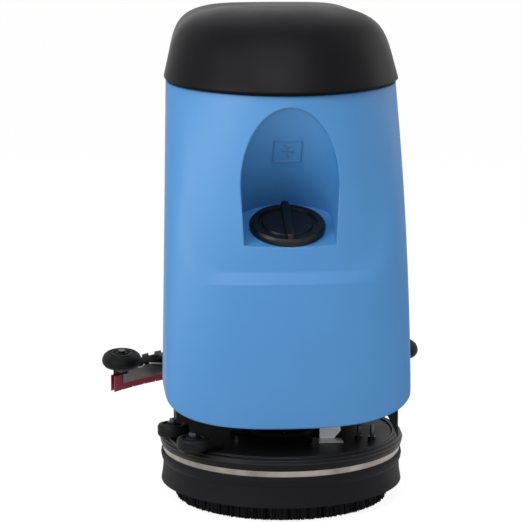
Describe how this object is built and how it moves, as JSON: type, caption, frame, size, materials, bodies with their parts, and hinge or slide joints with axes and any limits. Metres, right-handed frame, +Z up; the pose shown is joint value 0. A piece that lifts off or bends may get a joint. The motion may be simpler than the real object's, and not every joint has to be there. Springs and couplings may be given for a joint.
{
  "type": "wet dry floor scrubber",
  "caption": "Walk-behind wet and dry floor scrubber: tank body with hinged lid, round brush deck on a lifting linkage, driven wheels, casters and a curved rear squeegee.",
  "frame": {"origin": "on the floor, in the middle of the overall width and length", "axes": "+Z up; +Y towards the operator at the rear, so the brush deck is on the -Y side; +X to the left of an operator walking behind it looking forward"},
  "size_m": [0.8113, 1.152, 1.118],
  "materials": {
    "tank_blue": "rotationally moulded polyethylene, fine orange peel",
    "lid_black": "moulded polyethylene, soft sheen",
    "black_plastic": "moulded, satin",
    "seal_rubber": "soft black rubber",
    "float_white": "natural polypropylene",
    "frame_paint": "black powder coat",
    "deck_casting": "cast aluminium, satin black",
    "steel": "zinc plated steel",
    "motor_paint": "satin black paint",
    "tyre_rubber": "solid grey-black rubber",
    "hub_grey": "moulded grey hub",
    "caster_grey": "grey rubber tread",
    "bumper_rubber": "black moulded rubber",
    "blade_red": "red polyurethane",
    "brush_plastic": "moulded polypropylene",
    "hub_steel": "turned steel",
    "knob_black": "moulded phenolic",
    "display_glass": "smoked polycarbonate",
    "spigot_grey": "moulded nylon"
  },
  "bodies": {
    "chassis": {"chassis_frame": "frame_paint", "chassis_shroud": "frame_paint", "body_tank": "tank_blue", "tank_gasket": "seal_rubber", "float_cage": "float_white", "hinge_leaf_tank": "steel", "battery_left": "black_plastic", "battery_right": "black_plastic", "transaxle": "motor_paint", "control_console": "black_plastic", "display_lens": "display_glass", "handle_bar": "frame_paint", "handle_grips": "seal_rubber", "tank_spigots": "spigot_grey", "vacuum_motor": "black_plastic"},
    "lid": {"tank_lid": "lid_black", "hinge_leaf_lid": "steel"},
    "cap": {"fill_cap": "black_plastic"},
    "lift_lever": {"lift_arms": "frame_paint", "lift_pedal": "seal_rubber"},
    "upper_links": {"upper_arms": "frame_paint"},
    "deck": {"deck_pan": "deck_casting", "deck_band": "steel", "deck_skirt": "seal_rubber", "brush_motor": "motor_paint", "motor_plate": "steel", "deck_bracket": "frame_paint", "deck_bolts": "steel", "roller_bracket": "frame_paint"},
    "brush": {"brush_hub": "hub_steel", "brush_block": "brush_plastic", "brush_bristles": "brush_plastic"},
    "roller_side": {"bumper_roller_side": "bumper_rubber"},
    "roller_front": {"bumper_roller_front": "bumper_rubber"},
    "wheel_left": {"wheel_hub_left": "hub_grey", "tyre_left": "tyre_rubber"},
    "wheel_right": {"wheel_hub_right": "hub_grey", "tyre_right": "tyre_rubber"},
    "caster_swivel_left": {"caster_fork_left": "steel"},
    "caster_swivel_right": {"caster_fork_right": "steel"},
    "caster_roll_left": {"caster_wheel_left": "caster_grey"},
    "caster_roll_right": {"caster_wheel_right": "caster_grey"},
    "squeegee_lift": {"squeegee_arm": "frame_paint"},
    "squeegee_hinge": {"squeegee_carrier": "deck_casting"},
    "squeegee_head": {"squeegee_body": "deck_casting", "squeegee_clamps": "steel", "blade_front": "blade_red", "blade_rear": "blade_red", "squeegee_knobs": "knob_black", "bumper_bolts": "steel"},
    "bumper_left": {"bumper_wheel_left": "bumper_rubber"},
    "bumper_right": {"bumper_wheel_right": "bumper_rubber"},
    "support_left": {"support_wheel_left": "caster_grey"},
    "support_right": {"support_wheel_right": "caster_grey"},
    "key": {"key_switch": "steel"},
    "water_dial": {"water_knob": "knob_black"},
    "brush_rocker": {"rocker_brush": "knob_black"},
    "vacuum_rocker": {"rocker_vacuum": "knob_black"},
    "bail": {"drive_bail": "steel"},
    "squeegee_handle": {"squeegee_lever": "steel"}
  },
  "joints": [
    {"name": "lid_hinge", "type": "hinge", "parent": "chassis", "child": "lid", "pos_m": [0, 0.162, 0.997], "axis": [-1, 0, 0], "range_deg": [0, 78]},
    {"name": "cap_lift", "type": "slide", "parent": "chassis", "child": "cap", "axis": [0, -0.342, 0.9397], "range_m": [0, 0.06]},
    {"name": "deck_lift", "type": "hinge", "parent": "chassis", "child": "lift_lever", "pos_m": [0, -0.106, 0.19], "axis": [-1, 0, 0], "range_deg": [0, 8]},
    {"name": "upper_link", "type": "hinge", "parent": "chassis", "child": "upper_links", "pos_m": [0, -0.106, 0.25], "axis": [-1, 0, 0], "range_deg": [0, 8]},
    {"name": "deck_level", "type": "hinge", "parent": "lift_lever", "child": "deck", "pos_m": [0, -0.276, 0.19], "axis": [-1, 0, 0], "range_deg": [-8, 0]},
    {"name": "brush_spin", "type": "hinge", "parent": "deck", "child": "brush", "pos_m": [0, -0.296, 0.1], "axis": [0, 0, 1], "continuous": true},
    {"name": "roller_side_spin", "type": "hinge", "parent": "deck", "child": "roller_side", "pos_m": [-0.251, -0.358, 0.155], "axis": [0, 0, 1], "continuous": true},
    {"name": "roller_front_spin", "type": "hinge", "parent": "deck", "child": "roller_front", "pos_m": [-0.214, -0.487, 0.155], "axis": [0, 0, 1], "continuous": true},
    {"name": "wheel_left_spin", "type": "hinge", "parent": "chassis", "child": "wheel_left", "pos_m": [-0.205, 0.026, 0.1], "axis": [1, 0, 0], "continuous": true},
    {"name": "wheel_right_spin", "type": "hinge", "parent": "chassis", "child": "wheel_right", "pos_m": [0.205, 0.026, 0.1], "axis": [1, 0, 0], "continuous": true},
    {"name": "caster_left_swivel", "type": "hinge", "parent": "chassis", "child": "caster_swivel_left", "pos_m": [-0.14, 0.184, 0.13], "axis": [0, 0, 1], "continuous": true},
    {"name": "caster_right_swivel", "type": "hinge", "parent": "chassis", "child": "caster_swivel_right", "pos_m": [0.14, 0.184, 0.13], "axis": [0, 0, 1], "continuous": true},
    {"name": "caster_left_spin", "type": "hinge", "parent": "caster_swivel_left", "child": "caster_roll_left", "pos_m": [-0.14, 0.209, 0.04], "axis": [1, 0, 0], "continuous": true},
    {"name": "caster_right_spin", "type": "hinge", "parent": "caster_swivel_right", "child": "caster_roll_right", "pos_m": [0.14, 0.209, 0.04], "axis": [1, 0, 0], "continuous": true},
    {"name": "squeegee_lift", "type": "hinge", "parent": "chassis", "child": "squeegee_lift", "pos_m": [0, -0.026, 0.2], "axis": [-1, 0, 0], "range_deg": [0, 22.95]},
    {"name": "squeegee_level", "type": "hinge", "parent": "squeegee_lift", "child": "squeegee_hinge", "pos_m": [0, 0.2803, 0.22573], "axis": [1, 0, 0], "range_deg": [0, 14.48]},
    {"name": "squeegee_swing", "type": "hinge", "parent": "squeegee_hinge", "child": "squeegee_head", "pos_m": [0, 0.31777, 0.20504], "axis": [0, -0.1478, 0.989], "range_deg": [-15.3, 8.7]},
    {"name": "bumper_left_spin", "type": "hinge", "parent": "squeegee_head", "child": "bumper_left", "pos_m": [-0.35222, 0.23663, 0.20252], "axis": [0, -0.1478, 0.989], "continuous": true},
    {"name": "bumper_right_spin", "type": "hinge", "parent": "squeegee_head", "child": "bumper_right", "pos_m": [0.35915, 0.2772, 0.20858], "axis": [0, -0.1478, 0.989], "continuous": true},
    {"name": "support_left_spin", "type": "hinge", "parent": "squeegee_head", "child": "support_left", "pos_m": [-0.22979, 0.2813, 0.14933], "axis": [0.9983, 0.0569, 0.0085], "continuous": true},
    {"name": "support_right_spin", "type": "hinge", "parent": "squeegee_head", "child": "support_right", "pos_m": [0.23336, 0.30771, 0.15328], "axis": [0.9983, 0.0569, 0.0085], "continuous": true},
    {"name": "key_turn", "type": "hinge", "parent": "chassis", "child": "key", "pos_m": [-0.118, 0.27245, 0.93673], "axis": [0, 0.3267, 0.9451], "range_deg": [0, 90]},
    {"name": "water_turn", "type": "hinge", "parent": "chassis", "child": "water_dial", "pos_m": [0.118, 0.27245, 0.93673], "axis": [0, 0.3267, 0.9451], "range_deg": [0, 270]},
    {"name": "brush_rocker_tip", "type": "hinge", "parent": "chassis", "child": "brush_rocker", "pos_m": [-0.058, 0.27147, 0.9339], "axis": [-1, 0, 0], "range_deg": [0, 12]},
    {"name": "vacuum_rocker_tip", "type": "hinge", "parent": "chassis", "child": "vacuum_rocker", "pos_m": [-0.014, 0.27147, 0.9339], "axis": [-1, 0, 0], "range_deg": [0, 12]},
    {"name": "bail_pull", "type": "hinge", "parent": "chassis", "child": "bail", "pos_m": [0, 0.504, 0.9136], "axis": [1, 0, 0], "range_deg": [0, 18], "stiffness_Nm_per_rad": 1.5, "springref_deg": -20.05},
    {"name": "squeegee_handle_pull", "type": "hinge", "parent": "chassis", "child": "squeegee_handle", "pos_m": [0.172, 0.224, 0.85], "axis": [-1, 0, 0], "range_deg": [0, 65.2]}
  ],
  "couplings": [
    {"joint": "upper_link", "follows": "deck_lift", "ratio": 1},
    {"joint": "deck_level", "follows": "deck_lift", "ratio": -1},
    {"joint": "squeegee_level", "follows": "squeegee_lift", "ratio": 0.6304},
    {"joint": "squeegee_handle_pull", "follows": "squeegee_lift", "ratio": 2.84}
  ]
}
